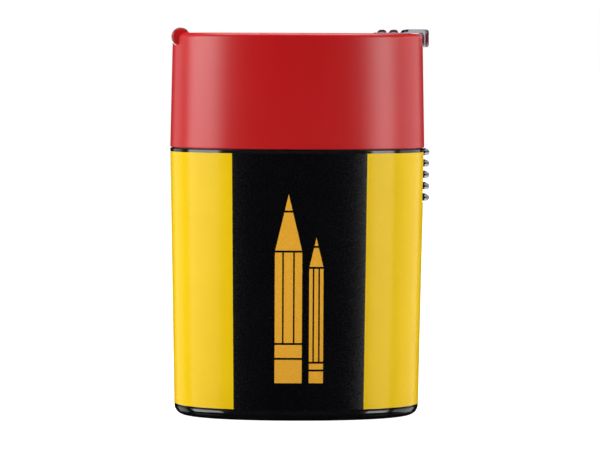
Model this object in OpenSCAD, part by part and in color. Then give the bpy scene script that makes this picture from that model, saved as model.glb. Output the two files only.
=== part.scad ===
// Oval tub pencil sharpener with two holes.
// A smoke tinted tub holds the shavings and wears a printed sleeve. The red lid plugs into it
// with a dark carrier that holds a die-cast two-hole sharpener, and a clear dust flap closes
// the lid's recess. Origin at the centre of the underside, +Z up, the flap's hinge at -X.

/* [Body outline] */
// Width of the tub and the lid where they meet
body_w = 40; // [36:0.5:50]
// Depth of the tub and the lid where they meet
body_d = 26; // [25:0.5:34]
// How far the tub's base is drawn in on each side
base_inset = 0.75; // [0:0.05:1.5]
// How far the lid's rim is drawn in on each side
top_inset = 0.35; // [0:0.05:1]
// Exponent of the outline, where 2 is an ellipse and more is squarer
squareness = 2.2; // [2:0.05:3]

/* [Tub] */
// Height of the tub to its rim
tub_h = 41.85; // [35:0.5:60]
// Thickness of the tub's wall under the sleeve
tub_wall = 1.3; // [0.9:0.1:1.6]
// Thickness of the tub's floor
floor_t = 1.5; // [1:0.1:3]
// Radius of the edge round the tub's base
base_edge_r = 1.5; // [0.8:0.1:2.5]
// Radius of the edge round the floor inside
floor_edge_r = 1; // [0.4:0.1:2]
// Height of the bare band under the tub's rim
rim_band_h = 0.4; // [0.3:0.05:1.5]

/* [Grip ribs] */
// Number of grip ribs on the tub's right end
rib_count = 5; // [1:1:8]
// Radius of a grip rib's nose
rib_r = 0.52; // [0.3:0.02:0.7]
// Distance from one grip rib to the next
rib_pitch = 1.79; // [1.6:0.05:3]
// Length of a grip rib
rib_len = 4; // [2:0.2:6]
// How far a nose's centre stands outside the tub
rib_stand = 0.2; // [0.1:0.05:0.4]

/* [Sleeve] */
// Height of the sleeve's lower edge above the ground
sleeve_z = 1.8; // [1.6:0.1:4]
// Thickness of the sleeve
sleeve_t = 0.15; // [0.1:0.05:0.3]
// Margin of the sleeve's window round the grip ribs
window_margin = 0.4; // [0.2:0.1:1]

/* [Lid] */
// Height of the lid's skirt, from its lower edge to the rim
lid_h = 17.9; // [16:0.5:26]
// Thickness of the lid's skirt
lid_wall = 1.3; // [1:0.1:1.7]
// Thickness of the lid's deck, which has the pencil holes
deck_t = 1.4; // [1:0.1:2.5]
// Depth of the recess from the rim to the deck
recess_depth = 3; // [2.8:0.1:4]
// Width of the rim round the recess
rim_w = 1.45; // [1:0.05:2]
// Radius of the rim's outer edge
rim_edge_r = 0.85; // [0.3:0.05:1]
// Radius of the skirt's lower edge
skirt_edge_r = 0.35; // [0.2:0.05:0.5]
// Bevel at the mouth of each pencil hole
mouth_bevel = 0.6; // [0.3:0.1:1]

/* [Flap] */
// Thickness of the flap's plate
flap_t = 1.1; // [0.8:0.1:1.5]
// Depth of the plate's upper face below the rim
flap_sink = 0.2; // [0.1:0.05:0.4]
// Radius of the hinge barrel
barrel_r = 1.45; // [1.3:0.05:1.8]
// Length of the hinge barrel
barrel_len = 6.2; // [4:0.2:9]
// Radius of the lid's hinge knuckles, one at each end of the barrel
knuckle_r = 1.3; // [1.1:0.05:1.45]
// Length of a hinge knuckle
knuckle_len = 1.3; // [0.8:0.1:2]
// Radius of the lid's hinge pin
hinge_pin_r = 0.6; // [0.5:0.05:0.65]
// Height of the hinge axis below the rim
hinge_drop = 0.65; // [0.5:0.05:0.9]
// Width of the finger tab, its bridge and its pad
tab_w = 6.6; // [4:0.2:9]
// Thickness of the finger tab
tab_t = 0.75; // [0.6:0.05:1.1]
// Depth of the finger tab below the rim
tab_drop = 2.1; // [1.5:0.1:4]
// Thickness of the bridge over the rim
bridge_t = 0.55; // [0.4:0.05:1]
// Number of ribs on the thumb pad
pad_rib_count = 3; // [1:1:4]
// Distance from one pad rib to the next
pad_rib_pitch = 1.85; // [1.5:0.05:2.5]
// Radius of a pad rib
pad_rib_r = 0.55; // [0.3:0.05:0.7]

/* [Carrier] */
// Depth of the carrier's spigot inside the tub
spigot_depth = 4.4; // [3:0.2:8]
// Thickness of the carrier's ring
ring_t = 1.1; // [0.8:0.1:1.5]
// Thickness of the carrier's top plate
carrier_plate_t = 1.5; // [1:0.1:2.5]
// Thickness of the carrier's seating flange
flange_t = 0.6; // [0.4:0.1:1]
// Thickness of a rail beside the sharpener
rail_t = 1.4; // [1:0.1:1.6]
// Width of a rail
rail_w = 8; // [5:0.5:9]
// Length of a rail below the top plate
rail_len = 10; // [8:0.5:14]

/* [Sharpener] */
// Diameter of the hole for slim pencils
slim_d = 8.4; // [7.5:0.1:10.1]
// Diameter of the hole for thick pencils
thick_d = 10.5; // [10:0.1:11.5]
// Length of the die-cast sharpener along the pencil
sharpener_len = 24; // [22:0.5:27]
// Height of the full-depth collar at the pencil end
collar_h = 3; // [2:0.2:5]
// Wall between the two pencil holes
mid_wall = 3.25; // [2:0.1:4]
// Wall beside the thick hole and behind both holes
side_wall = 1.25; // [1:0.05:1.6]
// Radius of the upright corners
corner_r = 1.5; // [1:0.1:2.5]
// Depth by which each cone breaks through its blade seat
bite = 0.25; // [0.15:0.05:0.4]

/* [Blades] */
// Width of a blade
blade_w = 7.4; // [6.5:0.1:8]
// Thickness of a blade
blade_t = 1; // [0.6:0.1:1.4]
// Length of a blade
blade_len = 18.4; // [16:0.1:18.8]
// Width of the ground bevel at the cutting edge
blade_bevel = 1.6; // [1:0.1:2.5]
// Radius of a blade screw's shank
screw_r = 1.15; // [0.8:0.05:1.3]
// Radius of a blade screw's head
screw_head_r = 2.1; // [1.6:0.1:2.4]
// Length of a blade screw's shank in the casting
screw_len = 3; // [2:0.2:3.4]

/* [Clearances] */
// Glue line between the sleeve and the tub
sleeve_gap = 0.02; // [0.01:0.01:0.05]
// Gap between the spigot and the tub
spigot_gap = 0.25; // [0.15:0.05:0.4]
// Gap under the flange and over the carrier's plate
seat_gap = 0.05; // [0.02:0.01:0.1]
// Shadow gap between the lid's lower edge and the tub's rim
shadow_gap = 0.25; // [0.2:0.05:0.5]
// Gap between the carrier and the lid
carrier_gap = 0.1; // [0.05:0.05:0.2]
// Gap round the flap in the recess and inside the tab
flap_gap = 0.25; // [0.15:0.05:0.4]
// Running gap round the hinge pin
pin_gap = 0.06; // [0.03:0.01:0.09]
// Gap round each blade screw's shank
screw_gap = 0.05; // [0.03:0.01:0.1]

/* [Hidden] */
outline_points = 72;
edge_steps = 4;
over = 1;

// Heights
lid_z = tub_h + shadow_gap;
rim_z = lid_z + lid_h;
deck_z = rim_z - recess_depth;
deck_under_z = deck_z - deck_t;
sleeve_top_z = tub_h - rim_band_h;
carrier_top_z = deck_under_z - seat_gap;
casting_top_z = carrier_top_z - carrier_plate_t;
casting_base_z = casting_top_z - sharpener_len;
collar_z = casting_top_z - collar_h;
flange_z = tub_h + seat_gap;
spigot_z = tub_h - spigot_depth;
rail_z = casting_top_z - rail_len;

// Insets from the outline at the seam
flange_inset = 0.75;
rebate_gap = 0.1;
ring_draft = 0.3;
inner_rim_r = 0.3;
tub_rim_r = 0.2;

// Overlap of a small feature with the wall that it grows from
weld = 0.2;

// Grip ribs
rib_rise = 0.12;
rib_x = body_w / 2 + rib_stand;
rib_top_z = tub_h - rib_r + rib_rise;

// Flap
flap_top_z = rim_z - flap_sink;
flap_z = flap_top_z - flap_t;
hinge_inset = 1.25;
hinge_x = -(body_w / 2 - top_inset - hinge_inset);
hinge_z = rim_z - hinge_drop;
barrel_step = 0.2;
notch_drop = 1;
hinge_bore_r = hinge_pin_r + pin_gap;
plate_start_x = hinge_x + barrel_r + barrel_step;
bridge_gap = 0.12;
bridge_z = rim_z + bridge_gap;
bridge_top_z = bridge_z + bridge_t;
recess_inset = top_inset + rim_w;
plate_inset = recess_inset + flap_gap;
plate_end_x = body_w / 2 - plate_inset;
pad_rise = 0.15;
pad_margin = 0.15;
pad_rib_start = 0.6;
pad_rib_sink = 0.08;
pad_top_z = rim_z + pad_rise;
pad_len = (pad_rib_count + pad_margin) * pad_rib_pitch;
tab_gap = 0.2;
tab_inner_inset = top_inset - tab_gap;
tab_outer_inset = tab_inner_inset - tab_t;

// Sharpener, with its holes side by side along X and the whole casting centred
slim_r = slim_d / 2;
thick_r = thick_d / 2;
blade_margin = 0.6;
hole_pitch = slim_r + mid_wall + thick_r;
casting_w = blade_w + blade_margin + hole_pitch + thick_r + side_wall;
casting_d = 2 * (thick_r + side_wall);
slim_x = -casting_w / 2 + blade_margin + blade_w;
thick_x = slim_x + hole_pitch;
step_x = thick_x - blade_w - 0.1;
tip_rise = 1.4;
tip_z = casting_base_z + tip_rise;
slim_tip_r = 0.4;
thick_tip_r = 0.5;
slim_guide_len = 3.6;
thick_guide_len = collar_h;
back_thin = 2.4;
relief_w = 2.2;
relief_depth = 0.6;
blade_rise = 0.6;
screw_rise = 9.6;
sink_h = 0.7;
screw_crown = 0.35;
screw_slot_w = 0.5;
screw_slot_depth = 0.5;
screw_end_gap = 0.4;

// Rail catches and the notches they hold
catch_rise = 1.2;
catch_h = 1;
catch_reach = 0.45;
catch_gap = 0.15;
rail_gap = 0.1;
web_t = 1.2;
web_rise = 2;

// Catches between the carrier and the lid
clip_w = 6;
clip_h = 1.2;
clip_reach = 0.45;
clip_offset = 2;
clip_pocket = 0.6;
clip_z = (casting_top_z + flange_z) / 2 + clip_offset;

// Outline of the body, drawn in by an inset

function signed_power(v, e) = sign(v) * pow(abs(v), e);

function outline(inset) =
    let (a = body_w / 2 - inset, b = body_d / 2 - inset, e = 2 / squareness)
    [for (i = [0 : outline_points - 1])
        let (t = 360 * i / outline_points)
        [a * signed_power(cos(t), e), b * signed_power(sin(t), e)]];

// Insets of the tub's and the lid's drafted outer walls at a height

function tub_inset(z) = base_inset * (tub_h - z) / tub_h;

function lid_inset(z) = top_inset * (z - lid_z) / lid_h;

// Faces between two rings of points, as two triangles a step

function band_faces(low, high) =
    [for (i = [0 : outline_points - 1])
        let (j = (i + 1) % outline_points)
        each [[low + i, high + i, high + j], [low + i, high + j, low + j]]];

function ring_points(rings) =
    [for (ring = rings) for (p = outline(ring[1])) [p[0], p[1], ring[0]]];

// A solid through rings of [height, inset], walked with the material on the left.
// It is capped at its first and last ring, or closed into a tube.
module oval_loft(rings, tube = false) {
    count = len(rings);
    bands = [for (k = [0 : count - 2]) each band_faces(k * outline_points, (k + 1) * outline_points)];
    first_cap = [for (i = [0 : outline_points - 1]) i];
    last_cap = [for (i = [outline_points - 1 : -1 : 0]) (count - 1) * outline_points + i];
    ends = tube ? band_faces((count - 1) * outline_points, 0) : [first_cap, last_cap];
    polyhedron(points = ring_points(rings), faces = concat(bands, ends));
}

// Rings round a convex edge, from its lower or inner end to its upper or outer end

function lower_edge(z, inset, r) =
    [for (k = [0 : edge_steps])
        let (t = 90 * k / edge_steps)
        [z + r * (1 - cos(t)), inset + r * (1 - sin(t))]];

function upper_edge(z, inset, r) =
    [for (k = [0 : edge_steps])
        let (t = 90 * k / edge_steps)
        [z - r * (1 - sin(t)), inset + r * (1 - cos(t))]];

// A prism of the outline between two heights

module oval_prism(z0, z1, inset) {
    translate([0, 0, z0])
        linear_extrude(height = z1 - z0)
            polygon(outline(inset));
}

// A box centred on X = 0 and Y = 0 in width and depth

module centred_box(x0, x1, w, z0, z1) {
    translate([x0, -w / 2, z0])
        cube([x1 - x0, w, z1 - z0]);
}

// A round bar along Y, centred on Y = 0

module bar_y(x, z, r, length, fn = 48) {
    translate([x, length / 2, z])
        rotate([90, 0, 0])
            cylinder(h = length, r = r, $fn = fn);
}

// ---- Tub ----

module grip_rib(z) {
    root_x = body_w / 2 - tub_wall;
    union() {
        bar_y(rib_x, z, rib_r, rib_len);
        centred_box(root_x, rib_x, rib_len, z - rib_r, min(z + rib_r, tub_h));
    }
}

module tub() {
    seat = sleeve_t + sleeve_gap;
    inner = seat + tub_wall;
    outer_rings = concat(
        lower_edge(0, tub_inset(0), base_edge_r),
        [[sleeve_z, tub_inset(sleeve_z)],
         [sleeve_z, tub_inset(sleeve_z) + seat],
         [sleeve_top_z, tub_inset(sleeve_top_z) + seat],
         [sleeve_top_z, tub_inset(sleeve_top_z)]],
        upper_edge(tub_h, 0, tub_rim_r));
    floor_rings = lower_edge(floor_t, tub_inset(floor_t) + inner, floor_edge_r);
    inner_rings = [for (k = [edge_steps : -1 : 0]) floor_rings[k]];
    color("#2b2b30") union() {
        oval_loft(concat(outer_rings, [[tub_h, inner]], inner_rings));
        for (k = [0 : rib_count - 1])
            grip_rib(rib_top_z - k * rib_pitch);
    }
}

// ---- Sleeve ----

module sleeve() {
    low = tub_inset(sleeve_z);
    high = tub_inset(sleeve_top_z);
    window_low_z = rib_top_z - (rib_count - 1) * rib_pitch - rib_r - window_margin;
    color("#ffd004") difference() {
        oval_loft([[sleeve_z, low], [sleeve_top_z, high], [sleeve_top_z, high + sleeve_t],
                   [sleeve_z, low + sleeve_t]], tube = true);
        centred_box(body_w / 2 - 2 * tub_wall, body_w / 2 + over, rib_len + 2 * window_margin,
                    window_low_z, sleeve_top_z + over);
    }
}

// ---- Lid ----

module pencil_hole(x, r) {
    translate([x, 0, 0])
        rotate_extrude($fn = 96)
            polygon([[0, deck_under_z - over], [r, deck_under_z - over], [r, deck_z - mouth_bevel],
                     [r + mouth_bevel + over, deck_z + over], [0, deck_z + over]]);
}

module lid() {
    rebate_inset = flange_inset - rebate_gap;
    rebate_z = flange_z + flange_t + rebate_gap;
    skirt_inner = lid_wall;
    rings = concat(
        [[deck_under_z, lid_inset(deck_under_z) + skirt_inner],
         [rebate_z, lid_inset(rebate_z) + skirt_inner],
         [rebate_z, rebate_inset],
         [lid_z, rebate_inset]],
        lower_edge(lid_z, 0, skirt_edge_r),
        upper_edge(rim_z, top_inset, rim_edge_r),
        [[rim_z, recess_inset - inner_rim_r],
         [rim_z - inner_rim_r, recess_inset],
         [deck_z, recess_inset]]);
    notch_w = barrel_len + 2 * flap_gap;
    color("#d8222a") union() {
        difference() {
            oval_loft(rings);
            pencil_hole(slim_x, slim_r);
            pencil_hole(thick_x, thick_r);
            bar_y(hinge_x, hinge_z, barrel_r + flap_gap, notch_w);
            centred_box(hinge_x, plate_start_x + over, notch_w, hinge_z - notch_drop, rim_z + over);
            for (side = [-1, 1])
                translate([-clip_w / 2 - carrier_gap, side * (body_d / 2 - lid_wall) - clip_pocket,
                           clip_z - carrier_gap])
                    cube([clip_w + 2 * carrier_gap, 2 * clip_pocket, clip_h + 2 * carrier_gap]);
        }
        for (side = [-1, 1])
            translate([0, side * (notch_w + knuckle_len) / 2, 0])
                bar_y(hinge_x, hinge_z, knuckle_r, knuckle_len);
        bar_y(hinge_x, hinge_z, hinge_pin_r, notch_w + knuckle_len);
    }
}

// ---- Flap ----

module flap_plate() {
    intersection() {
        oval_prism(flap_z, flap_top_z, plate_inset);
        centred_box(plate_start_x, body_w, body_d, flap_z - over, flap_top_z + over);
    }
}

module finger_tab() {
    intersection() {
        difference() {
            oval_prism(rim_z - tab_drop, bridge_top_z, tab_outer_inset);
            oval_prism(rim_z - tab_drop - over, bridge_z, tab_inner_inset);
        }
        centred_box(plate_end_x - tab_t, body_w, tab_w, 0, bridge_top_z + over);
    }
}

module thumb_pad(pad_x) {
    intersection() {
        oval_prism(flap_z, bridge_top_z, plate_inset);
        union() {
            centred_box(plate_end_x - tab_t, plate_end_x, tab_w, flap_z, bridge_top_z);
            centred_box(pad_x, plate_end_x, tab_w, flap_z, pad_top_z);
        }
    }
}

module flap() {
    pad_x = plate_end_x - pad_len;
    color("#8a8a94") difference() {
        union() {
            flap_plate();
            finger_tab();
            thumb_pad(pad_x);
            for (k = [0 : pad_rib_count - 1])
                bar_y(pad_x + (k + pad_rib_start) * pad_rib_pitch, pad_top_z - pad_rib_sink, pad_rib_r, tab_w);
            bar_y(hinge_x, hinge_z, barrel_r, barrel_len);
            centred_box(hinge_x, plate_start_x + over, barrel_len, flap_z, flap_top_z);
        }
        bar_y(hinge_x, hinge_z, hinge_bore_r, barrel_len + 2 * over);
    }
}

// ---- Carrier ----

module rail() {
    inner_x = casting_w / 2 + rail_gap;
    catch_z = rail_z + catch_rise;
    ring_x = body_w / 2 - lid_wall - ring_t;
    centred_box(inner_x, inner_x + rail_t, rail_w, rail_z, casting_top_z + weld);
    centred_box(inner_x, ring_x, web_t, rail_z + web_rise, casting_top_z + weld);
    centred_box(inner_x - catch_reach, inner_x + weld, rail_w / 2, catch_z, catch_z + catch_h);
}

module carrier() {
    spigot = sleeve_t + sleeve_gap + tub_wall + spigot_gap;
    ring_top = lid_inset(carrier_top_z) + lid_wall + carrier_gap;
    ring_low = lid_inset(flange_z + flange_t) + lid_wall + carrier_gap;
    inner_low = spigot + ring_t;
    spigot_taper = 0.2;
    rings = [[casting_top_z, inner_low + ring_draft],
             [spigot_z, inner_low],
             [spigot_z, spigot + spigot_taper],
             [flange_z, spigot],
             [flange_z, flange_inset],
             [flange_z + flange_t, flange_inset],
             [flange_z + flange_t, ring_low],
             [carrier_top_z, ring_top]];
    color("#26262a") difference() {
        union() {
            difference() {
                oval_loft(rings);
                rounded_prism(casting_w + 2 * carrier_gap, casting_d + 2 * carrier_gap, corner_r,
                              spigot_z - over, casting_top_z);
            }
            rail();
            mirror([1, 0, 0]) rail();
            for (side = [-1, 1])
                translate([-clip_w / 2, side * (body_d / 2 - lid_wall) - clip_reach, clip_z])
                    cube([clip_w, 2 * clip_reach, clip_h]);
        }
        translate([slim_x, 0, casting_top_z - over])
            cylinder(h = carrier_plate_t + 2 * over, r = slim_r, $fn = 96);
        translate([thick_x, 0, casting_top_z - over])
            cylinder(h = carrier_plate_t + 2 * over, r = thick_r, $fn = 96);
    }
}

// ---- Sharpener casting ----

// Half angle of a hole's cone

function cone_angle(r, tip_r, guide_len) = atan((r - tip_r) / (casting_top_z - guide_len - tip_z));

slim_angle = cone_angle(slim_r, slim_tip_r, slim_guide_len);
thick_angle = cone_angle(thick_r, thick_tip_r, thick_guide_len);

// Places children on a blade seat: X across the blade, Y up along the cone, Z away from the pencil

module on_seat(x, tip_r, angle) {
    translate([x, -(tip_r - bite), tip_z])
        rotate([90 + angle, 0, 0])
            children();
}

module pencil_bore(x, r, tip_r, guide_len) {
    top_z = casting_top_z + over;
    translate([x, 0, 0])
        rotate_extrude($fn = 96)
            polygon([[0, casting_base_z - over], [tip_r, casting_base_z - over], [tip_r, tip_z],
                     [r, casting_top_z - guide_len], [r, top_z], [0, top_z]]);
}

// Side view of the wedge below the collar, along one hole

module wedge(x0, x1, tip_r, angle) {
    seat_low = -(tip_r - bite - tip_rise * tan(angle));
    seat_high = -(tip_r - bite + (collar_z - tip_z) * tan(angle));
    translate([x1, 0, 0])
        rotate([90, 0, -90])
            linear_extrude(height = x1 - x0)
                polygon([[-seat_low, casting_base_z], [-back_thin, casting_base_z],
                         [-casting_d / 2, collar_z], [-casting_d / 2, casting_top_z],
                         [-seat_high, casting_top_z], [-seat_high, collar_z]]);
}

module rounded_prism(w, d, r, z0, z1) {
    translate([0, 0, z0]) linear_extrude(height = z1 - z0) union() {
        square([w - 2 * r, d], center = true);
        square([w, d - 2 * r], center = true);
        for (sx = [-1, 1], sy = [-1, 1])
            translate([sx * (w / 2 - r), sy * (d / 2 - r)])
                circle(r = r, $fn = 48);
    }
}

module screw_hole() {
    translate([-blade_w / 2, screw_rise, -screw_len - screw_end_gap])
        cylinder(h = screw_len + screw_end_gap + over, r = screw_r + screw_gap, $fn = 48);
}

module shavings_relief() {
    translate([0, blade_rise, -relief_depth])
        cube([relief_w, blade_len, relief_depth + over]);
}

module sharpener_casting() {
    notch_z = rail_z + catch_rise - catch_gap;
    color("#b9bcc2") difference() {
        union() {
            rounded_prism(casting_w, casting_d, corner_r, collar_z, casting_top_z);
            intersection() {
                rounded_prism(casting_w, casting_d, corner_r, casting_base_z, casting_top_z);
                union() {
                    wedge(-casting_w / 2 - over, step_x, slim_tip_r, slim_angle);
                    wedge(step_x, casting_w / 2 + over, thick_tip_r, thick_angle);
                }
            }
        }
        pencil_bore(slim_x, slim_r, slim_tip_r, slim_guide_len);
        pencil_bore(thick_x, thick_r, thick_tip_r, thick_guide_len);
        on_seat(slim_x, slim_tip_r, slim_angle) screw_hole();
        on_seat(thick_x, thick_tip_r, thick_angle) screw_hole();
        on_seat(slim_x, slim_tip_r, slim_angle) shavings_relief();
        on_seat(thick_x, thick_tip_r, thick_angle) shavings_relief();
        for (side = [-1, 1])
            translate([side * casting_w / 2, 0, notch_z + (catch_h + 2 * catch_gap) / 2])
                cube([2 * (catch_reach - rail_gap + catch_gap), rail_w / 2 + 2 * catch_gap,
                      catch_h + 2 * catch_gap], center = true);
    }
}

// ---- Blades and their screws ----

module blade() {
    hole_r = screw_r + screw_gap;
    sink_slope = (screw_head_r - screw_r) / sink_h;
    difference() {
        translate([0, blade_rise + blade_len, 0])
            rotate([90, 0, 0])
                linear_extrude(height = blade_len)
                    polygon([[-blade_w, 0], [0, 0], [-blade_bevel, blade_t], [-blade_w, blade_t]]);
        translate([-blade_w / 2, screw_rise, 0])
            rotate_extrude($fn = 48)
                polygon([[0, -over], [hole_r, -over], [hole_r, blade_t - sink_h],
                         [hole_r + sink_slope * (sink_h + over), blade_t + over],
                         [0, blade_t + over]]);
    }
}

module blade_screw() {
    translate([-blade_w / 2, screw_rise, 0])
        difference() {
            rotate_extrude($fn = 48)
                polygon([[0, -screw_len], [screw_r, -screw_len], [screw_r, blade_t - sink_h],
                         [screw_head_r, blade_t], [screw_head_r - screw_crown, blade_t + screw_crown],
                         [0, blade_t + screw_crown]]);
            translate([-screw_head_r - over, -screw_slot_w / 2, blade_t + screw_crown - screw_slot_depth])
                cube([2 * (screw_head_r + over), screw_slot_w, screw_slot_depth + over]);
        }
}

module slim_blade() {
    color("#d5d8dc") on_seat(slim_x, slim_tip_r, slim_angle) blade();
}

module thick_blade() {
    color("#d5d8dc") on_seat(thick_x, thick_tip_r, thick_angle) blade();
}

module slim_blade_screw() {
    color("#c9b37a") on_seat(slim_x, slim_tip_r, slim_angle) blade_screw();
}

module thick_blade_screw() {
    color("#c9b37a") on_seat(thick_x, thick_tip_r, thick_angle) blade_screw();
}

tub();
sleeve();
lid();
flap();
carrier();
sharpener_casting();
slim_blade();
thick_blade();
slim_blade_screw();
thick_blade_screw();
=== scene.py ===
import math

import bpy
from mathutils import Matrix, Vector


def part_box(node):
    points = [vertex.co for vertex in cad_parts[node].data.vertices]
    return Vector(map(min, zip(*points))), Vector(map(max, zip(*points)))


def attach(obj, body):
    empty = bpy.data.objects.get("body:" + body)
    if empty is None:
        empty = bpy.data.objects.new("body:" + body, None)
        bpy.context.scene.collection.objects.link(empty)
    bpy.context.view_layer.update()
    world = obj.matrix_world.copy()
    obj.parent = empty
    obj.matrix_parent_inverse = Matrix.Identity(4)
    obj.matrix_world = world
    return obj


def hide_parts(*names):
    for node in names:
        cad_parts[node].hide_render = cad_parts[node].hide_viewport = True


# The looks of an oval tub pencil sharpener: smooth meshes for the moulded pieces round the
# CAD frame, procedural materials, a pale studio and the camera. Lengths are in metres.
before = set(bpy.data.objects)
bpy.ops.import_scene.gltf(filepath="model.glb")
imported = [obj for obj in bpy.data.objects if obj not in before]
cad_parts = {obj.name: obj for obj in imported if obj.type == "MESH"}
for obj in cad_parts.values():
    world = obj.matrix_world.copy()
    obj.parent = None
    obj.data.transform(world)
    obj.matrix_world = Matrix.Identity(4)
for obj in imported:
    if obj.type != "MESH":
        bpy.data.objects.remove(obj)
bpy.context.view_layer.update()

MM = 0.001

# ---- Sizes: the overall ones come from the frame, and the walls are the real ones ----

lid_low, lid_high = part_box("lid")
sleeve_low, sleeve_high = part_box("sleeve")

HALF_W = lid_high.x
HALF_D = lid_high.y
SQUARENESS = 2.2
STEPS = 192
SHARP_ANGLE = 34
JOIN_STEP = 0.1 * MM
WELD = 0.02 * MM

# Tub and its printed film
TUB_H = 41.85 * MM
BASE_INSET = 0.75 * MM
BASE_R = 1.5 * MM
LINE_ZS = (0.65 * MM, 1.45 * MM)
LINE_H = 0.1 * MM
FILM_T = 0.15 * MM
FILM_GAP = 0.02 * MM
FILM_SEAT = FILM_T + FILM_GAP
FILM_LEVELS = 12
FILM_SHARP_ANGLE = 30
TUB_WALL = 1.3 * MM
TUB_INNER = FILM_SEAT + TUB_WALL
FLOOR_T = 1.5 * MM
FLOOR_R = 1.0 * MM
RIM_R = 0.1 * MM
LIP_RISE = 0.1 * MM
LIP_W = 0.6 * MM
BAND_FRACTION = 0.5225

# Grip ribs on the tub's right end
RIB_X = 20.2 * MM
RIB_R = 0.519 * MM
RIB_TOP_Z = 41.45 * MM
RIB_PITCH = 1.79 * MM
RIB_COUNT = 5
RIB_LEN = 4 * MM
RIB_EDGE = 0.12 * MM
RIB_ROOT = 0.97
WINDOW_HALF = 2.4 * MM
WINDOW_MARGIN = 0.4 * MM

# Lid
LID_Z = lid_low.z
RIM_Z = lid_low.z + 17.9 * MM
TOP_INSET = 0.35 * MM
LID_WALL = 1.3 * MM
DECK_Z = RIM_Z - 3 * MM
DECK_T = 1.4 * MM
DECK_UNDER = DECK_Z - DECK_T
DECK_FILLET = 0.35 * MM
RIM_W = 1.45 * MM
RIM_EDGE = 0.85 * MM
RECESS_INSET = TOP_INSET + RIM_W
RECESS_MOUTH = 0.3 * MM
REBATE_INSET = 0.65 * MM
REBATE_Z = TUB_H + 0.75 * MM
SKIRT_R = 0.2 * MM
SKIRT_IN = 0.75 * SKIRT_R
SKIRT_STEP = 0.1 * MM
SLIM_X, SLIM_R = -5.6 * MM, 4.2 * MM
THICK_X, THICK_R = 7.1 * MM, 5.25 * MM
HOLE_LIP = 0.6 * MM

# Hinge
HINGE_X = -18.4 * MM
HINGE_Z = RIM_Z - 0.65 * MM
BARREL_R = 1.446 * MM
BARREL_LEN = 6.2 * MM
BARREL_EDGE = 0.15 * MM
BARREL_CLEAR = 0.1 * MM
KNUCKLE_R = 1.3 * MM
KNUCKLE_LEN = 1.3 * MM
KNUCKLE_EDGE = 0.2 * MM
PIN_R = 0.6 * MM
PIN_SUNK = 0.4 * MM
PIN_CLEAR = 0.06 * MM
FINE_EDGE = 0.05 * MM

# Flap
FLAP_GAP = 0.25 * MM
NOTCH_HALF = BARREL_LEN / 2 + FLAP_GAP
FLAP_T = 1.1 * MM
FLAP_TOP_Z = RIM_Z - 0.2 * MM
FLAP_Z = FLAP_TOP_Z - FLAP_T
FLAP_EDGE = 0.25 * MM
PLATE_INSET = RECESS_INSET + FLAP_GAP
PLATE_START = HINGE_X + BARREL_R + 0.2 * MM
PLATE_END = HALF_W - PLATE_INSET
TAB_HALF = 3.3 * MM
TAB_T = 0.75 * MM
TAB_OUTER = -0.6 * MM
TAB_INNER = 0.15 * MM
TAB_BOTTOM = RIM_Z - 2.1 * MM
TAB_TIP_H = 0.25 * MM
TAB_TIP_IN = 0.35 * TAB_T
BRIDGE_Z = RIM_Z + 0.12 * MM
BRIDGE_TOP = BRIDGE_Z + 0.55 * MM
BRIDGE_R = 0.4 * MM
BRIDGE_FILLET = 0.3 * MM
PAD_RIBS = 3
PAD_PITCH = 1.85 * MM
PAD_R = 0.55 * MM
PAD_MARGIN = 0.15
PAD_FIRST_RIB = 0.6
PAD_X = PLATE_END - (PAD_RIBS + PAD_MARGIN) * PAD_PITCH
PAD_TOP = RIM_Z + 0.15 * MM
PAD_SETBACK = 0.01 * MM
PAD_SINK = 0.08 * MM

# Print on the front: two pencils as (centre, width, top), on one foot
PENCILS = ((-1.7 * MM, 4.2 * MM, 35.2 * MM), (2.6 * MM, 2.2 * MM, 28.5 * MM))
PENCIL_FOOT = 6.0 * MM
PENCIL_LINE = 0.16 * MM


# ---- Mesh tools ----

def add_mesh(name, points, faces):
    mesh = bpy.data.meshes.new(name)
    mesh.from_pydata(points, [], faces)
    mesh.update()
    obj = bpy.data.objects.new(name, mesh)
    bpy.context.scene.collection.objects.link(obj)
    return obj


def circle(radius, z, steps):
    """Points of a level circle about the Z axis."""
    turns = [2 * math.pi * i / steps for i in range(steps)]
    return [(radius * math.cos(t), radius * math.sin(t), z) for t in turns]


def bands(count, steps, outwards=False):
    """Quads between rings of points that follow each other, each ring of the same steps."""
    faces = []
    for k in range(count - 1):
        low, high = k * steps, (k + 1) * steps
        for i in range(steps):
            j = (i + 1) % steps
            quad = (low + i, low + j, high + j, high + i)
            faces.append((quad[0], quad[3], quad[2], quad[1]) if outwards else quad)
    return faces


def signed_power(value, exponent):
    return math.copysign(abs(value) ** exponent, value)


def outline(inset, turns):
    """Points of the body's oval, drawn in by an inset, at turns in radians."""
    e = 2 / SQUARENESS
    return [((HALF_W - inset) * signed_power(math.cos(t), e),
             (HALF_D - inset) * signed_power(math.sin(t), e)) for t in turns]


EVEN_TURNS = [2 * math.pi * i / STEPS for i in range(STEPS)]


def tub_inset(z):
    return BASE_INSET * (TUB_H - z) / TUB_H


def lid_inset(z):
    return TOP_INSET * (z - LID_Z) / (RIM_Z - LID_Z)


def quarter(steps):
    """Turns from 0 to 90 degrees, with both ends."""
    return [math.pi / 2 * k / steps for k in range(steps + 1)]


def level_to_upright(z, inset, rise, spread, steps):
    """A quarter round from (z, inset + spread) to (z + rise, inset)."""
    return [(z + rise * (1 - math.cos(t)), inset + spread * (1 - math.sin(t)))
            for t in quarter(steps)]


def upright_to_level(z, inset, rise, spread, steps):
    """A quarter round from (z + rise, inset) to (z, inset + spread)."""
    return [(z + rise * (1 - math.sin(t)), inset + spread * (1 - math.cos(t)))
            for t in quarter(steps)]


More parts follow.
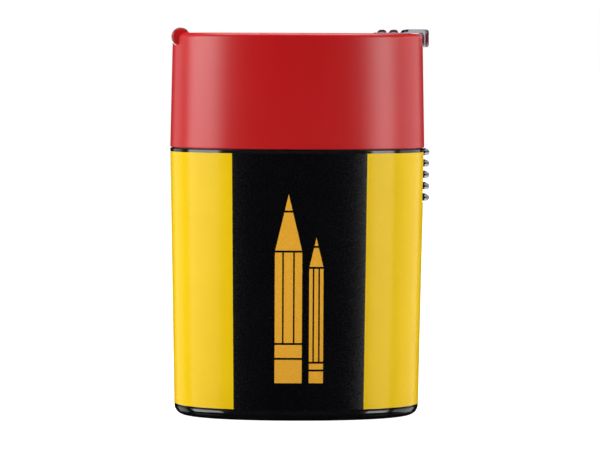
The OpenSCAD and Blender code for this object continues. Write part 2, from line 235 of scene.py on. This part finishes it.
def oval_loft(name, rings):
    """A closed solid through rings of (height, inset), with the material on the walk's left."""
    points = [(x, y, z) for z, inset in rings for x, y in outline(inset, EVEN_TURNS)]
    last = (len(rings) - 1) * STEPS
    faces = bands(len(rings), STEPS)
    faces.append(tuple(range(STEPS - 1, -1, -1)))
    faces.append(tuple(last + i for i in range(STEPS)))
    return add_mesh(name, points, faces)


def lathe(name, profile, transform, steps):
    """A closed solid turned from (height, radius) points; its ends lie on the axis."""
    rings = profile[1:-1]
    points = [point for z, r in rings for point in circle(r, z, steps)]
    faces = bands(len(rings), steps)
    first, last = len(points), len(points) + 1
    points += [(0, 0, profile[0][0]), (0, 0, profile[-1][0])]
    top = (len(rings) - 1) * steps
    for i in range(steps):
        j = (i + 1) % steps
        faces.append((first, j, i))
        faces.append((last, top + i, top + j))
    obj = add_mesh(name, points, faces)
    obj.data.transform(transform)
    return obj


def round_bar(name, x, z, radius, y0, y1, edge, steps=64):
    """A bar along Y with rounded ends."""
    profile = [(y0, 0)] + level_to_upright(y0, radius, edge, -edge, 5)
    profile += upright_to_level(y1, radius, -edge, -edge, 5) + [(y1, 0)]
    turn = Matrix.Translation((x, 0, z)) @ Matrix.Rotation(-math.pi / 2, 4, "X")
    return lathe(name, profile, turn, steps)


def box(name, x0, x1, y0, y1, z0, z1):
    corners = ((x0, z0), (x1, z0), (x1, z1), (x0, z1))
    points = [(x, y, z) for y in (y0, y1) for x, z in corners]
    faces = [(0, 1, 2, 3), (7, 6, 5, 4)]
    for i in range(4):
        j = (i + 1) % 4
        faces.append((j, i, 4 + i, 4 + j))
    return add_mesh(name, points, faces)


def combined(obj, others, operation):
    """Joins, cuts or intersects an object with others, which are then removed."""
    for other in others:
        step = obj.modifiers.new("combine", "BOOLEAN")
        step.operation = operation
        step.solver = "EXACT"
        step.object = other
    graph = bpy.context.evaluated_depsgraph_get()
    mesh = bpy.data.meshes.new_from_object(obj.evaluated_get(graph))
    obj.modifiers.clear()
    obj.data = mesh
    for other in others:
        bpy.data.objects.remove(other)
    return obj


def smoothed(obj, angle):
    """Shades smooth, apart from edges sharper than an angle in degrees."""
    obj.data.shade_smooth()
    obj.data.set_sharp_from_angle(angle=math.radians(angle))


# ---- Material tools ----

def new_node(tree, kind, **values):
    made = tree.nodes.new(kind)
    for key, value in values.items():
        if key in made.inputs:
            made.inputs[key].default_value = value
        else:
            setattr(made, key, value)
    return made


def plug(tree, socket, value):
    """Links a socket to another, or sets its number."""
    if isinstance(value, bpy.types.NodeSocket):
        tree.links.new(value, socket)
    else:
        socket.default_value = value


def noise(tree, coords, scale, detail=2.0, stretch=(1, 1, 1)):
    """Noise of a scale per metre, drawn out along the axes that stretch makes smaller."""
    mapping = new_node(tree, "ShaderNodeMapping")
    mapping.inputs["Scale"].default_value = stretch
    tree.links.new(coords, mapping.inputs["Vector"])
    made = new_node(tree, "ShaderNodeTexNoise", Scale=scale, Detail=detail)
    tree.links.new(mapping.outputs["Vector"], made.inputs["Vector"])
    return made.outputs["Fac"]


def ranged(tree, value, low, high):
    """Spreads the middle of a noise from low to high."""
    made = new_node(tree, "ShaderNodeMapRange")
    made.inputs["From Min"].default_value = 0.3
    made.inputs["From Max"].default_value = 0.7
    made.inputs["To Min"].default_value = low
    made.inputs["To Max"].default_value = high
    tree.links.new(value, made.inputs["Value"])
    return made.outputs["Result"]


def mixed(tree, factor, colour_a, colour_b):
    made = tree.nodes.new("ShaderNodeMix")
    made.data_type = "RGBA"
    for socket, colour in ((made.inputs[6], colour_a), (made.inputs[7], colour_b)):
        plug(tree, socket, (*colour, 1) if isinstance(colour, tuple) else colour)
    tree.links.new(factor, made.inputs[0])
    return made.outputs[2]


def calc(tree, operation, a, b=0.0):
    made = new_node(tree, "ShaderNodeMath", operation=operation)
    plug(tree, made.inputs[0], a)
    plug(tree, made.inputs[1], b)
    return made.outputs["Value"]


def surface(name, colours, roughness, patch=60, grain=4000, grain_height=0.004,
            stretch=(1, 1, 1), wave=0.0, wave_scale=120, metallic=0.0, specular=0.5, ior=1.5):
    """A material of two close colours, with mottled roughness, fine grain and broad waves.

    Patch, grain and wave_scale are noise scales per metre; the heights are in millimetres.
    """
    material = bpy.data.materials.new(name)
    material.use_nodes = True
    tree = material.node_tree
    shader = tree.nodes["Principled BSDF"]
    coords = new_node(tree, "ShaderNodeTexCoord").outputs["Object"]
    mottle = noise(tree, coords, patch, 4.0, stretch)
    colour = mixed(tree, ranged(tree, mottle, 0, 1), *colours)
    tree.links.new(colour, shader.inputs["Base Color"])
    fine = noise(tree, coords, grain, 2.0, stretch)
    tree.links.new(ranged(tree, fine, *roughness), shader.inputs["Roughness"])
    shader.inputs["Metallic"].default_value = metallic
    shader.inputs["Specular IOR Level"].default_value = specular
    shader.inputs["IOR"].default_value = ior
    bump = new_node(tree, "ShaderNodeBump", Strength=1.0, Distance=grain_height * MM)
    tree.links.new(fine, bump.inputs["Height"])
    normal = bump.outputs["Normal"]
    if wave:
        swell = new_node(tree, "ShaderNodeBump", Strength=1.0, Distance=wave * MM)
        tree.links.new(noise(tree, coords, wave_scale, 1.0), swell.inputs["Height"])
        tree.links.new(normal, swell.inputs["Normal"])
        normal = swell.outputs["Normal"]
    tree.links.new(normal, shader.inputs["Normal"])
    return material


def tinted_clear(name, tint, density, roughness, colours, transmission=1.0):
    """Clear moulded plastic with a tint that deepens with its thickness."""
    material = surface(name, colours, roughness, patch=90, grain=2500, grain_height=0.0015,
                       wave=0.006, wave_scale=150, ior=1.52)
    tree = material.node_tree
    shader = tree.nodes["Principled BSDF"]
    shader.inputs["Transmission Weight"].default_value = transmission
    absorb = new_node(tree, "ShaderNodeVolumeAbsorption", Density=density)
    absorb.inputs["Color"].default_value = (*tint, 1)
    tree.links.new(absorb.outputs["Volume"], tree.nodes["Material Output"].inputs["Volume"])
    return material


def pencil_mask(tree, across, height, centre, width, top):
    """1 inside a plain upright pencil: end cap, faceted body, cone and point."""
    cone = 2.1 * width
    cap = PENCIL_FOOT + 0.9 * width
    collar = cap + 0.55 * width

    def do(operation, a, b=0.0):
        return calc(tree, operation, a, b)

    def away_from(value, level):
        return do("ABSOLUTE", do("SUBTRACT", value, level))

    reach = away_from(across, centre)
    taper = do("MULTIPLY", do("DIVIDE", do("SUBTRACT", top, height), cone), width / 2)
    mask = do("LESS_THAN", reach, do("MINIMUM", taper, width / 2))
    mask = do("MULTIPLY", mask, do("GREATER_THAN", height, PENCIL_FOOT))
    for level in (cap, collar, top - cone, top - 0.3 * cone):
        gap = do("GREATER_THAN", away_from(height, level), PENCIL_LINE)
        mask = do("MULTIPLY", mask, gap)
    facet = do("GREATER_THAN", away_from(reach, width / 5), 0.8 * PENCIL_LINE)
    on_cone = do("GREATER_THAN", height, top - cone)
    on_cap = do("LESS_THAN", height, collar)
    filled = do("MAXIMUM", facet, do("MAXIMUM", on_cone, on_cap))
    return do("MULTIPLY", mask, filled)


def printed(material, ink):
    """Adds two plain pencils, a thick and a slim one, in one ink on the front of the film."""
    tree = material.node_tree
    shader = tree.nodes["Principled BSDF"]
    position = new_node(tree, "ShaderNodeSeparateXYZ")
    coords = new_node(tree, "ShaderNodeTexCoord").outputs["Object"]
    tree.links.new(coords, position.inputs["Vector"])
    across, depth, height = (position.outputs[axis] for axis in "XYZ")
    thick, slim = (pencil_mask(tree, across, height, *pencil) for pencil in PENCILS)
    front = calc(tree, "LESS_THAN", depth, 0.0)
    mask = calc(tree, "MULTIPLY", calc(tree, "MAXIMUM", thick, slim), front)
    base = shader.inputs["Base Color"].links[0].from_socket
    tree.links.new(mixed(tree, mask, base, ink), shader.inputs["Base Color"])


# ---- Materials ----

FILM = dict(patch=110, grain=3200, grain_height=0.0003, wave=0.004, wave_scale=110)

RED = surface("red_plastic", ((0.56, 0.003, 0.004), (0.60, 0.004, 0.006)), (0.30, 0.38),
              patch=70, grain=5200, grain_height=0.003, wave=0.006, wave_scale=90,
              specular=0.55)
YELLOW = surface("yellow_film", ((0.95, 0.61, 0.0), (0.98, 0.64, 0.001)), (0.20, 0.28),
                 specular=0.18, **FILM)
BLACK = surface("black_film", ((0.0018, 0.002, 0.003), (0.003, 0.0032, 0.0045)), (0.22, 0.30),
                specular=0.4, **FILM)
printed(BLACK, (0.95, 0.46, 0.03))
FILM_EDGE = surface("film_edge", ((0.30, 0.27, 0.20), (0.36, 0.33, 0.26)), (0.35, 0.5))
SMOKE = tinted_clear("smoke_plastic", (0.02, 0.03, 0.10), 260, (0.08, 0.14),
                     ((0.010, 0.010, 0.012), (0.016, 0.016, 0.018)), transmission=0.45)
CLEAR_SMOKE = tinted_clear("clear_smoke_plastic", (0.02, 0.03, 0.14), 120, (0.03, 0.08),
                           ((0.90, 0.90, 0.94), (0.84, 0.84, 0.88)))
BLACK_PLASTIC = surface("black_plastic", ((0.012, 0.012, 0.014), (0.020, 0.020, 0.023)),
                        (0.38, 0.5), patch=200, grain=4200, grain_height=0.008)
CASTING = surface("cast_metal", ((0.50, 0.51, 0.53), (0.62, 0.63, 0.65)), (0.34, 0.5),
                  patch=300, grain=2600, grain_height=0.010, wave=0.010, wave_scale=500,
                  metallic=1.0)
STEEL = surface("ground_steel", ((0.60, 0.62, 0.65), (0.74, 0.75, 0.77)), (0.16, 0.32),
                patch=500, grain=1500, grain_height=0.004, stretch=(1, 1, 0.05), metallic=1.0)
BRASS = surface("screw_plating", ((0.62, 0.50, 0.26), (0.72, 0.60, 0.34)), (0.22, 0.36),
                patch=500, grain=2500, grain_height=0.004, metallic=1.0)


def dress(obj, *materials):
    obj.data.materials.clear()
    for material in materials:
        obj.data.materials.append(material)


def place(obj, body, slot, *nodes):
    """Puts a piece on its body in the place of CAD nodes."""
    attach(obj, body)
    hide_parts(*nodes)


# ---- Tub ----

sleeve_z, sleeve_top = sleeve_low.z, sleeve_high.z


def base_ring(z):
    """Height and inset of the tub's rounded foot."""
    below = max(0, BASE_R - z)
    return z, tub_inset(0) + BASE_R - math.sqrt(BASE_R ** 2 - below ** 2)


def foot_rings():
    """The rounded foot, with two fine lines cut into it."""
    rings = [base_ring(BASE_R * (1 - math.cos(t))) for t in quarter(10)]
    for z in LINE_ZS:
        rings = [ring for ring in rings if not z - LINE_H < ring[0] < z + 2 * LINE_H]
        start, end = base_ring(z), base_ring(z + 2 * LINE_H)
        rings += [start, (z + LINE_H, start[1] + LINE_H), end]
    return sorted(rings)


def build_tub():
    lip_z = TUB_H + LIP_RISE
    floor_inset = tub_inset(FLOOR_T) + TUB_INNER
    rings = foot_rings()
    rings += [(sleeve_z, tub_inset(sleeve_z)),
              (sleeve_z, tub_inset(sleeve_z) + FILM_SEAT),
              (sleeve_top, tub_inset(sleeve_top) + FILM_SEAT),
              (sleeve_top, tub_inset(sleeve_top))]
    rings += upright_to_level(lip_z, 0, -RIM_R, RIM_R, 4)
    rings += [(lip_z, LIP_W), (TUB_H, LIP_W), (TUB_H, TUB_INNER)]
    rings += reversed(level_to_upright(FLOOR_T, floor_inset, FLOOR_R, FLOOR_R, 8))
    tub = oval_loft("tub_shell", rings)
    half, root_h = RIB_LEN / 2, RIB_ROOT * RIB_R
    ribs = []
    for k in range(RIB_COUNT):
        z = RIB_TOP_Z - k * RIB_PITCH
        ribs.append(round_bar(f"rib_{k}", RIB_X, z, RIB_R, -half, half, RIB_EDGE))
        ribs.append(box(f"rib_root_{k}", HALF_W - TUB_WALL, RIB_X, -half + RIB_EDGE,
                        half - RIB_EDGE, z - root_h, min(z + root_h, TUB_H - RIM_R)))
    combined(tub, ribs, "UNION")
    smoothed(tub, SHARP_ANGLE)
    dress(tub, SMOKE, CLEAR_SMOKE)
    for face in tub.data.polygons:
        if face.center.x > HALF_W and abs(face.center.y) < half + JOIN_STEP:
            face.material_index = 1
    return tub


place(build_tub(), "tub", "tub_plastic", "tub")


# ---- Sleeve ----

def sleeve_turns():
    """Even turns, with more at the edges of the black bands and of the window."""
    full = 2 * math.pi
    band = math.acos(BAND_FRACTION ** (SQUARENESS / 2))
    window = math.asin((WINDOW_HALF / HALF_D) ** (SQUARENESS / 2))
    marks = [band, math.pi - band, math.pi + band, full - band, window, full - window]
    turns = [t for t in EVEN_TURNS if all(abs(t - m) > math.pi / STEPS for m in marks)]
    return sorted(turns + marks), band, window


def build_sleeve():
    turns, band, window = sleeve_turns()
    lowest_rib = RIB_TOP_Z - (RIB_COUNT - 1) * RIB_PITCH
    window_z = lowest_rib - RIB_R - WINDOW_MARGIN
    height = sleeve_top - sleeve_z
    levels = [sleeve_z + height * k / FILM_LEVELS for k in range(FILM_LEVELS + 1)]
    levels = sorted(levels + [window_z])
    columns, rows = len(turns), len(levels)
    points = []
    for depth in (0, FILM_T):
        for z in levels:
            points += [(x, y, z) for x, y in outline(tub_inset(z) + depth, turns)]
    inner = columns * rows
    faces, slots = [], []

    def middle(i):
        after = turns[(i + 1) % columns] + (2 * math.pi if i == columns - 1 else 0)
        return (turns[i] + after) / 2

    def is_open(i, k):
        if not 0 <= k < rows - 1:
            return True
        t = middle(i % columns)
        beside = t < window or t > 2 * math.pi - window
        return beside and (levels[k] + levels[k + 1]) / 2 > window_z

    for k in range(rows - 1):
        for i in range(columns):
            if is_open(i, k):
                continue
            j = (i + 1) % columns
            a, b = k * columns + i, k * columns + j
            c, d = b + columns, a + columns
            black = 1 if band < middle(i) % math.pi < math.pi - band else 0
            faces += [(a, b, c, d), (inner + d, inner + c, inner + b, inner + a)]
            slots += [black, 2]
            sides = (((i, k - 1), a, b), ((i + 1, k), b, c),
                     ((i, k + 1), c, d), ((i - 1, k), d, a))
            for beyond, p, q in sides:
                if is_open(*beyond):
                    faces.append((q, p, inner + p, inner + q))
                    slots.append(2)
    obj = add_mesh("printed_sleeve", points, faces)
    dress(obj, YELLOW, BLACK, FILM_EDGE)
    obj.data.polygons.foreach_set("material_index", slots)
    smoothed(obj, FILM_SHARP_ANGLE)
    return obj


place(build_sleeve(), "tub", "printed_film", "sleeve")


# ---- Lid ----

def hole_cutter(name, x, r):
    """A bore through the deck with a rounded mouth."""
    profile = [(DECK_UNDER - MM, 0), (DECK_UNDER - MM, r)]
    profile += upright_to_level(DECK_Z, r, -HOLE_LIP, HOLE_LIP, 6)
    profile += [(DECK_Z + MM, r + HOLE_LIP), (DECK_Z + MM, 0)]
    return lathe(name, profile, Matrix.Translation((x, 0, 0)), 128)


def build_lid():
    rings = [(DECK_UNDER, lid_inset(DECK_UNDER) + LID_WALL),
             (REBATE_Z, lid_inset(REBATE_Z) + LID_WALL),
             (REBATE_Z, REBATE_INSET),
             (LID_Z + SKIRT_STEP, REBATE_INSET)]
    rings += level_to_upright(LID_Z, 0, SKIRT_R, SKIRT_IN, 8)
    rings += upright_to_level(RIM_Z, TOP_INSET, -RIM_EDGE, RIM_EDGE, 12)
    rings += level_to_upright(RIM_Z, RECESS_INSET, -RECESS_MOUTH, -RECESS_MOUTH, 6)
    rings += upright_to_level(DECK_Z, RECESS_INSET, DECK_FILLET, DECK_FILLET, 6)
    lid = oval_loft("lid_shell", rings)
    knuckles = []
    for side in (-1, 1):
        near, far = sorted((side * NOTCH_HALF, side * (NOTCH_HALF + KNUCKLE_LEN)))
        knuckles.append(round_bar(f"knuckle_{side}", HINGE_X, HINGE_Z, KNUCKLE_R,
                                  near, far, KNUCKLE_EDGE))
    combined(lid, knuckles, "UNION")
    combined(lid, [
        hole_cutter("slim_cut", SLIM_X, SLIM_R),
        hole_cutter("thick_cut", THICK_X, THICK_R),
        round_bar("barrel_cut", HINGE_X, HINGE_Z, BARREL_R + BARREL_CLEAR,
                  -NOTCH_HALF, NOTCH_HALF, FINE_EDGE),
        box("notch_cut", HINGE_X, PLATE_START + MM, -NOTCH_HALF, NOTCH_HALF,
            HINGE_Z - MM, RIM_Z + 2 * MM)], "DIFFERENCE")
    pin_half = NOTCH_HALF + PIN_SUNK
    combined(lid, [round_bar("hinge_pin", HINGE_X, HINGE_Z, PIN_R, -pin_half, pin_half,
                             FINE_EDGE, 32)], "UNION")
    smoothed(lid, SHARP_ANGLE)
    dress(lid, RED)
    return lid


place(build_lid(), "lid", "lid_plastic", "lid")


# ---- Flap ----

def build_hook():
    """The bridge over the rim and the finger tab that hangs from it."""
    rings = [(TAB_BOTTOM, TAB_OUTER + TAB_TIP_IN), (TAB_BOTTOM + TAB_TIP_H, TAB_OUTER)]
    rings += upright_to_level(BRIDGE_TOP, TAB_OUTER, -BRIDGE_R, BRIDGE_R, 6)
    hook = oval_loft("hook", rings)
    core = oval_loft("hook_core", [(TAB_BOTTOM - MM, TAB_INNER),
                                   (BRIDGE_Z - BRIDGE_FILLET, TAB_INNER),
                                   (BRIDGE_Z, TAB_INNER + BRIDGE_FILLET)])
    combined(hook, [core], "DIFFERENCE")
    span = box("hook_span", PLATE_END - TAB_T, 2 * HALF_W, -TAB_HALF, TAB_HALF, 0, 2 * RIM_Z)
    return combined(hook, [span], "INTERSECT")


def build_pad():
    """The raised thumb pad at the plate's free end."""
    pad = oval_loft("pad", [(FLAP_Z + JOIN_STEP, PLATE_INSET + WELD),
                            (BRIDGE_TOP, PLATE_INSET + WELD)])
    riser = box("riser", PLATE_END - TAB_T, PLATE_END, -TAB_HALF, TAB_HALF, FLAP_Z, 2 * RIM_Z)
    block = box("block", PAD_X, PLATE_END - PAD_SETBACK, -TAB_HALF, TAB_HALF, FLAP_Z, PAD_TOP)
    combined(riser, [block], "UNION")
    return combined(pad, [riser], "INTERSECT")


def build_flap():
    rings = level_to_upright(FLAP_Z, PLATE_INSET, FLAP_EDGE, FLAP_EDGE, 4)
    rings += upright_to_level(FLAP_TOP_Z, PLATE_INSET, -FLAP_EDGE, FLAP_EDGE, 4)
    flap = oval_loft("dust_flap", rings)
    combined(flap, [box("plate_end", -HALF_W, PLATE_START, -HALF_D, HALF_D, 0, 2 * RIM_Z)],
             "DIFFERENCE")
    half, web_half = BARREL_LEN / 2, BARREL_LEN / 2 - JOIN_STEP
    joined = [build_hook(), build_pad(),
              round_bar("barrel", HINGE_X, HINGE_Z, BARREL_R, -half, half, BARREL_EDGE),
              box("barrel_web", HINGE_X, PLATE_START + MM, -web_half, web_half,
                  FLAP_Z + WELD, FLAP_TOP_Z - WELD)]
    rib_half = TAB_HALF - WELD
    for k in range(PAD_RIBS):
        x = PAD_X + (k + PAD_FIRST_RIB) * PAD_PITCH
        joined.append(round_bar(f"pad_rib_{k}", x, PAD_TOP - PAD_SINK, PAD_R,
                                -rib_half, rib_half, RIB_EDGE, 48))
    combined(flap, joined, "UNION")
    combined(flap, [round_bar("pin_bore", HINGE_X, HINGE_Z, PIN_R + PIN_CLEAR,
                              -BARREL_LEN, BARREL_LEN, FINE_EDGE, 32)], "DIFFERENCE")
    smoothed(flap, SHARP_ANGLE)
    dress(flap, CLEAR_SMOKE)
    return flap


place(build_flap(), "flap", "flap_plastic", "flap")


# ---- Pieces that keep their CAD shape ----

for node_name, material in (("carrier", BLACK_PLASTIC), ("sharpener_casting", CASTING),
                            ("slim_blade", STEEL), ("thick_blade", STEEL),
                            ("slim_blade_screw", BRASS), ("thick_blade_screw", BRASS)):
    for material_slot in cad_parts[node_name].material_slots:
        material_slot.material = material


# ---- Studio ----

FLOOR_RADII = (0.1, 0.3, 1.0, 3.0, 9.0)
FLOOR_STEPS = 64
FLOOR_GLOW = 0.97
WORLD_FILL = 0.10
WORLD_DARK = 0.004


def build_floor():
    """A wide, flat, round floor that the camera sees as near white."""
    points = [point for r in FLOOR_RADII for point in circle(r, 0, FLOOR_STEPS)]
    faces = [tuple(range(FLOOR_STEPS))] + bands(len(FLOOR_RADII), FLOOR_STEPS, outwards=True)
    floor = add_mesh("studio_floor", points, faces)
    pale = surface("pale_floor", ((0.48, 0.48, 0.48), (0.50, 0.50, 0.50)), (0.6, 0.7),
                   patch=3, grain=60, specular=0.0)
    tree = pale.node_tree
    shader = tree.nodes["Principled BSDF"]
    shader.inputs["Emission Color"].default_value = (1, 1, 1, 1)
    seen = new_node(tree, "ShaderNodeLightPath").outputs["Is Camera Ray"]
    glow = calc(tree, "MULTIPLY", seen, FLOOR_GLOW)
    tree.links.new(glow, shader.inputs["Emission Strength"])
    dress(floor, pale)
    floor.visible_glossy = False
    return floor


build_floor()


def area_light(name, azimuth, elevation, distance, width, height, radiance):
    """A softbox aimed at the object. Azimuth 0 is in front of it and grows to its right."""
    light = bpy.data.lights.new(name, "AREA")
    light.shape = "RECTANGLE"
    light.size, light.size_y = width, height
    light.energy = radiance * math.pi * width * height
    obj = bpy.data.objects.new(name, light)
    a, e = math.radians(azimuth), math.radians(elevation)
    out = Vector((math.sin(a) * math.cos(e), -math.cos(a) * math.cos(e), math.sin(e)))
    obj.location = out * distance + Vector((0, 0, RIM_Z / 2))
    obj.rotation_mode = "QUATERNION"
    obj.rotation_quaternion = out.to_track_quat("Z", "Y")
    bpy.context.scene.collection.objects.link(obj)


area_light("left_box", -71, 0, 0.9, 0.72, 1.1, 5.6)
area_light("right_box", 58, 0, 0.9, 0.40, 1.1, 5.4)
area_light("right_side_box", 106, 0, 0.9, 0.9, 1.1, 1.5)
area_light("left_side_box", -125, 0, 0.9, 0.5, 1.1, 1.0)
area_light("top_box", 0, 104, 1.0, 0.9, 0.5, 6.5)


def build_world():
    """White to the camera and through clear plastic, dim for diffuse light, dark in gloss."""
    world = bpy.data.worlds.new("studio")
    bpy.context.scene.world = world
    world.use_nodes = True
    tree = world.node_tree
    back = tree.nodes["Background"]
    rays = new_node(tree, "ShaderNodeLightPath").outputs
    shown = calc(tree, "MAXIMUM", rays["Is Camera Ray"], rays["Is Transmission Ray"])
    fill = calc(tree, "MULTIPLY", rays["Is Diffuse Ray"], WORLD_FILL)
    level = calc(tree, "MAXIMUM", calc(tree, "MAXIMUM", shown, fill), WORLD_DARK)
    back.inputs["Color"].default_value = (1, 1, 1, 1)
    tree.links.new(level, back.inputs["Strength"])


build_world()
bpy.context.scene.view_settings.view_transform = "Standard"


# ---- Camera, level with the lid and a little left of the front ----

LENS = 195.4
SENSOR_W = 36
CLIP = (0.01, 20)
CAMERA_AZIMUTH = math.radians(-2)
CAMERA_ROLL = math.radians(0.25)
CAMERA_DISTANCE = 0.513
EYE_Z = 57.4 * MM
AIM = Vector((0.48 * MM, 0, 29.8 * MM))

camera_data = bpy.data.cameras.new("camera")
camera_data.lens = LENS
camera_data.sensor_width = SENSOR_W
camera_data.clip_start, camera_data.clip_end = CLIP
camera = bpy.data.objects.new("camera", camera_data)
bpy.context.scene.collection.objects.link(camera)
bpy.context.scene.camera = camera
camera.location = Vector((AIM.x + math.sin(CAMERA_AZIMUTH) * CAMERA_DISTANCE,
                          -math.cos(CAMERA_AZIMUTH) * CAMERA_DISTANCE, EYE_Z))
look = (camera.location - AIM).to_track_quat("Z", "Y").to_matrix().to_4x4()
roll = Matrix.Rotation(CAMERA_ROLL, 4, "Z")
camera.matrix_world = Matrix.Translation(camera.location) @ look @ roll
